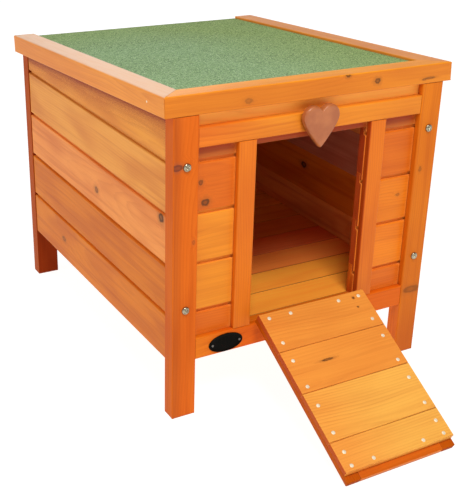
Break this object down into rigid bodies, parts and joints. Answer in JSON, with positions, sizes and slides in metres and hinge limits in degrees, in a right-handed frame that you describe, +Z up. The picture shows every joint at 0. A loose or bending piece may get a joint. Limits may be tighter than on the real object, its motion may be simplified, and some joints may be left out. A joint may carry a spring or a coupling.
{
  "type": "rodent house",
  "caption": "Raised wooden house for small rodents with shiplap walls, a felted lid hinged at the back, and a door that folds down as a ramp under a heart-shaped turn button.",
  "frame": {"origin": "on the ground, under the middle of the whole outline with the ramp down", "axes": "+X to the right across the front, +Y from the front to the back, +Z up"},
  "size_m": [0.424, 0.7384, 0.4301],
  "materials": {
    "frame_wood": "orange stained pine, satin",
    "board_wood": "orange stained pine, satin",
    "inner_wood": "orange stained pine, matte",
    "ramp_wood": "light orange stained pine",
    "lid_wood": "orange stained pine, satin",
    "panel_wood": "bare board",
    "felt": "green mineral roofing felt",
    "black_plate": "black, bare",
    "heart": "terracotta, satin",
    "washer": "dark, matte",
    "steel": "zinc plated"
  },
  "bodies": {
    "house": {"front_post_left": "frame_wood", "front_post_right": "frame_wood", "back_post_left": "frame_wood", "back_post_right": "frame_wood", "front_header": "frame_wood", "front_rail": "frame_wood", "door_jamb_left": "frame_wood", "door_jamb_right": "frame_wood", "back_header": "frame_wood", "back_rail": "frame_wood", "front_board_1": "board_wood", "front_board_5": "board_wood", "front_board_2_left": "board_wood", "front_board_3_left": "board_wood", "front_board_4_left": "board_wood", "front_board_2_right": "board_wood", "front_board_3_right": "board_wood", "front_board_4_right": "board_wood", "left_board_1": "board_wood", "left_board_2": "board_wood", "left_board_3": "board_wood", "left_board_4": "board_wood", "left_board_5": "board_wood", "right_board_1": "board_wood", "right_board_2": "board_wood", "right_board_3": "board_wood", "right_board_4": "board_wood", "right_board_5": "board_wood", "back_board_1": "board_wood", "back_board_2": "board_wood", "back_board_3": "board_wood", "back_board_4": "board_wood", "back_board_5": "board_wood", "corner_cleats": "inner_wood", "floor_boards": "inner_wood", "floor_bearers": "inner_wood", "oval_plate": "black_plate", "heart_washer": "washer", "corner_screws": "steel", "plate_tacks": "steel", "hinge_pins": "steel", "ramp_hinge_fixed_leaves": "steel", "lid_hinge_fixed_leaves": "steel"},
    "lid": {"lid_front_batten": "lid_wood", "lid_left_batten": "lid_wood", "lid_right_batten": "lid_wood", "lid_back_rail": "lid_wood", "roof_panel": "panel_wood", "roof_felt": "felt", "lid_hinge_moving_leaves": "steel"},
    "ramp": {"ramp_plank_1": "ramp_wood", "ramp_plank_2": "ramp_wood", "ramp_plank_3": "ramp_wood", "ramp_plank_4": "ramp_wood", "ramp_side_rails": "ramp_wood", "ramp_cross_rails": "ramp_wood", "ramp_nails": "steel", "ramp_hinge_moving_leaves": "steel"},
    "heart": {"heart_button": "heart", "heart_screw": "steel"}
  },
  "joints": [
    {"name": "ramp_hinge", "type": "hinge", "parent": "house", "child": "ramp", "pos_m": [0, -0.1475, 0.115], "axis": [-1, 0, 0], "range_deg": [0, 118.79]},
    {"name": "lid_hinge", "type": "hinge", "parent": "house", "child": "lid", "pos_m": [0, 0.3657, 0.37207], "axis": [-1, 0, 0], "range_deg": [0, 100]},
    {"name": "heart_turn", "type": "hinge", "parent": "house", "child": "heart", "pos_m": [0, -0.1459, 0.382], "axis": [0, 1, 0], "range_deg": [-180, 180]}
  ],
  "couplings": [
    {"joint": "heart_turn", "follows": "ramp_hinge", "ratio": 1.515}
  ]
}
